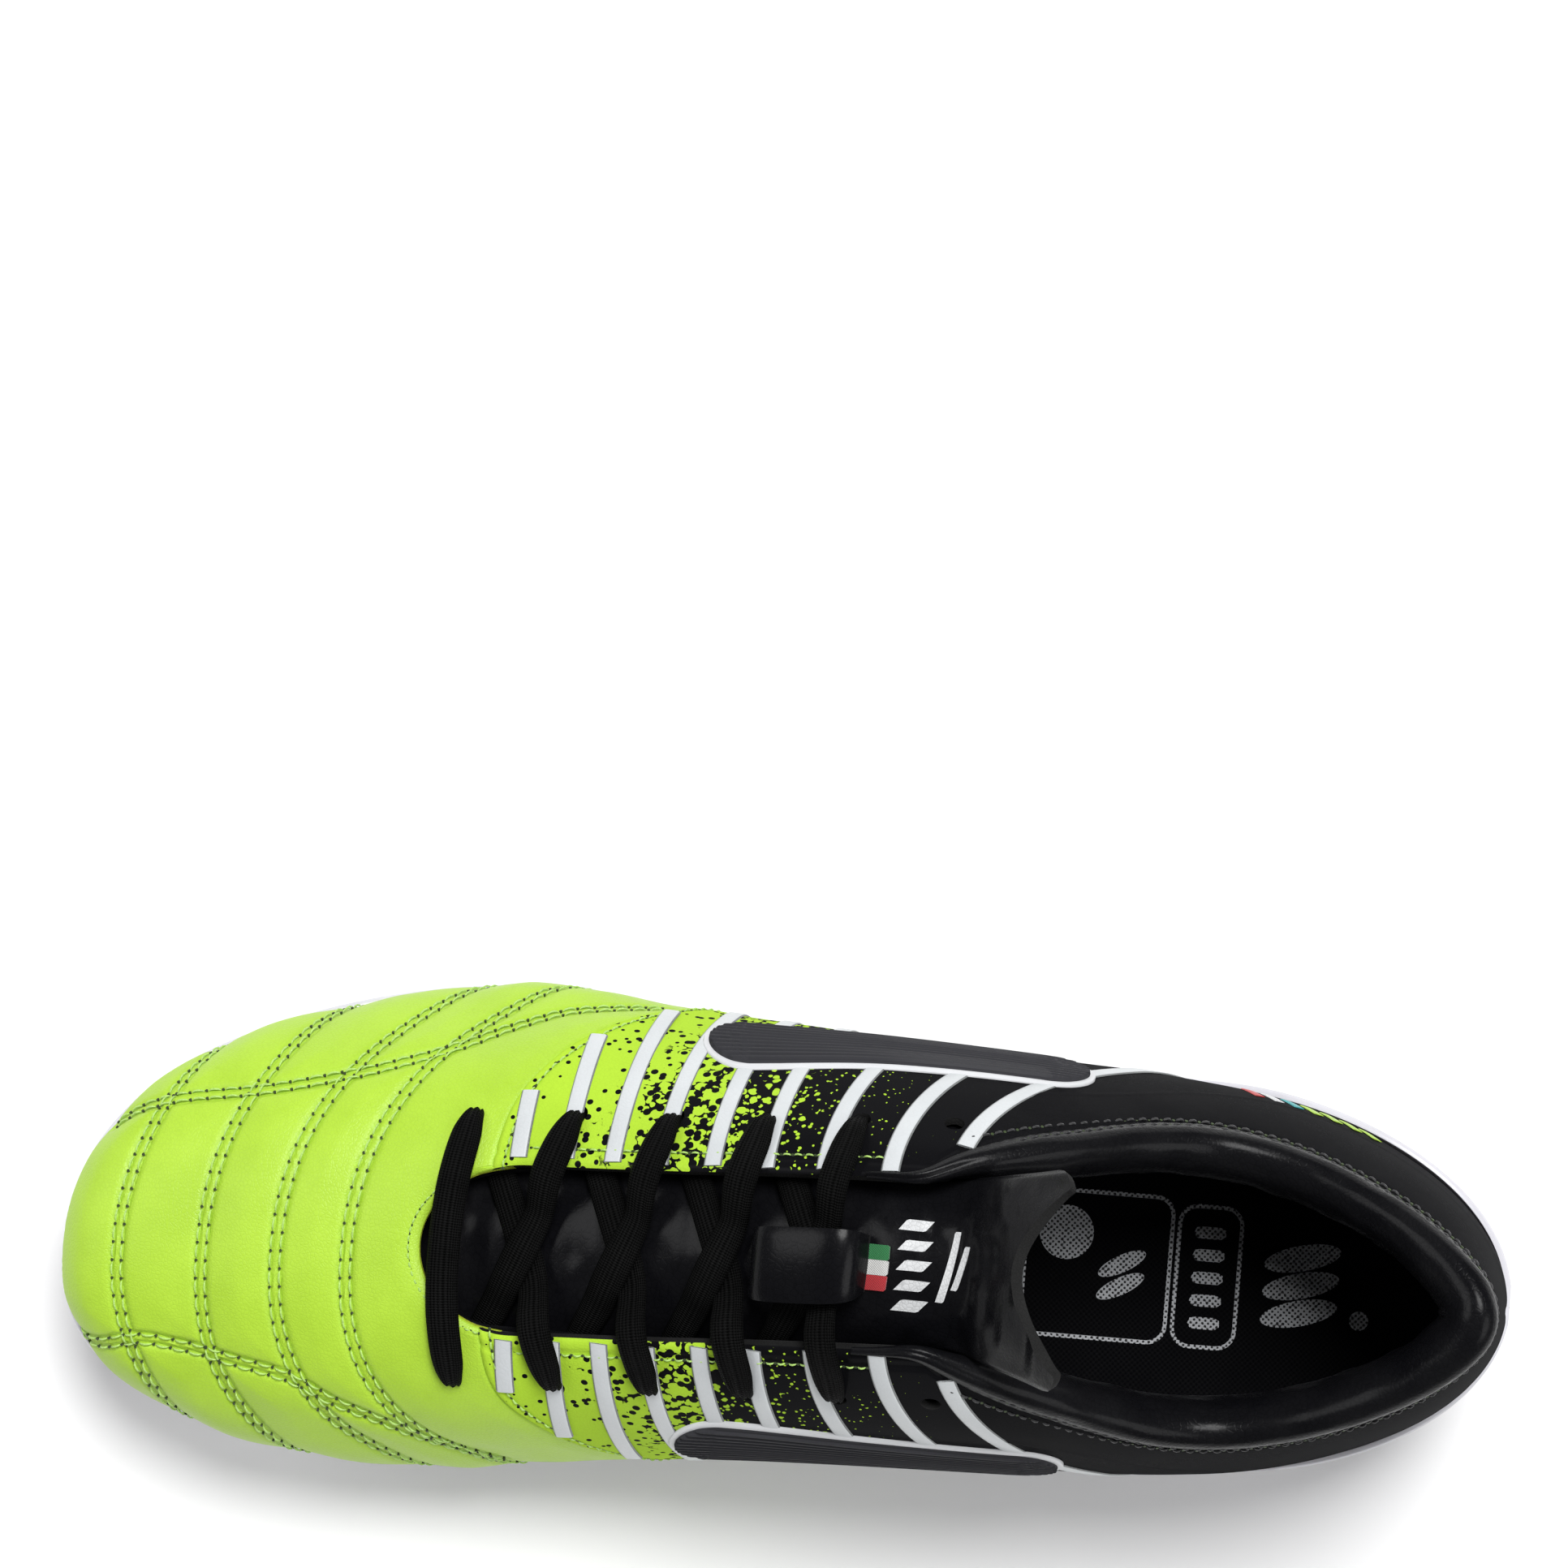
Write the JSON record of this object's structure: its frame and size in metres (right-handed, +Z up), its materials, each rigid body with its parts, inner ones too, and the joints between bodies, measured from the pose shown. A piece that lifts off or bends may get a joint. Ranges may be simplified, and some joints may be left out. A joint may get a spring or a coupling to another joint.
{
  "type": "soccer cleat",
  "caption": "Right-foot laced soccer cleat with quilted leather forefoot, printed side panels, padded collar, tongue and moulded stud plate.",
  "frame": {"origin": "middle of the shoe's plan box, on the ground under the stud tips", "axes": "+X towards the toe, +Y towards the medial side (the big toe's side of a right shoe), +Z up"},
  "size_m": [0.2852, 0.0956, 0.1157],
  "materials": {
    "vamp_leather": "fine-grained dyed leather, satin",
    "printed_leather": "printed yellow and black, satin",
    "black_leather": "soft black leather, satin",
    "tongue_leather": "coated black leather, glossy",
    "badge_rubber": "moulded, ribbed, satin",
    "stiffener_board": "fibreboard",
    "reinforcement_tape": "woven tape",
    "lining_textile": "brushed textile",
    "collar_foam": "open-cell foam",
    "insole_textile": "knitted top cloth with pale print",
    "tag_textile": "woven label",
    "lace_textile": "flat braid",
    "aglet_plastic": "clear-coated film",
    "outsole_plastic": "moulded, semi-gloss",
    "stud_plastic": "moulded, semi-gloss"
  },
  "bodies": {
    "rear": {"vamp_flex_panel": "vamp_leather", "vamp_wing_lateral": "vamp_leather", "vamp_wing_medial": "vamp_leather", "quarter_lateral": "printed_leather", "quarter_medial": "printed_leather", "heel_panel": "black_leather", "side_badge_lateral": "badge_rubber", "side_badge_medial": "badge_rubber", "heel_counter": "stiffener_board", "eyestay_reinforcement_lateral": "reinforcement_tape", "eyestay_reinforcement_medial": "reinforcement_tape", "lining_flex_panel": "lining_textile", "lining_rear": "lining_textile", "collar_foam": "collar_foam", "collar_cover": "black_leather", "outsole_rear": "outsole_plastic", "insole_board_rear": "stiffener_board", "insole_rear": "insole_textile", "stud_heel_lateral_rear": "stud_plastic", "stud_heel_medial_rear": "stud_plastic", "stud_heel_lateral_front": "stud_plastic", "stud_heel_medial_front": "stud_plastic", "stud_waist_lateral": "stud_plastic", "stud_waist_medial": "stud_plastic", "stud_ball_lateral": "stud_plastic", "stud_ball_medial": "stud_plastic", "tongue_base": "tongue_leather", "tongue_keeper": "black_leather", "tongue_tag": "tag_textile", "aglet_lateral": "aglet_plastic", "aglet_medial": "aglet_plastic", "lace": "lace_textile"},
    "forefoot": {"vamp_toe": "vamp_leather", "toe_puff": "stiffener_board", "lining_toe": "lining_textile", "outsole_forefoot": "outsole_plastic", "insole_board_forefoot": "stiffener_board", "insole_forefoot": "insole_textile", "stud_fore_lateral": "stud_plastic", "stud_fore_medial": "stud_plastic", "stud_toe_lateral": "stud_plastic", "stud_toe_medial": "stud_plastic"},
    "tongue_flap": {"tongue_top": "tongue_leather"}
  },
  "joints": [
    {"name": "forefoot_flex", "type": "hinge", "parent": "rear", "child": "forefoot", "pos_m": [0.06618, 0, 0.01709], "axis": [0, -1, 0], "range_deg": [0, 30], "stiffness_Nm_per_rad": 6, "deforming": ["vamp_flex_panel", "lining_flex_panel"]},
    {"name": "tongue_fold", "type": "hinge", "parent": "rear", "child": "tongue_flap", "pos_m": [-0.03132, 0, 0.09584], "axis": [0, 1, 0], "range_deg": [0, 70], "stiffness_Nm_per_rad": 0.05}
  ]
}
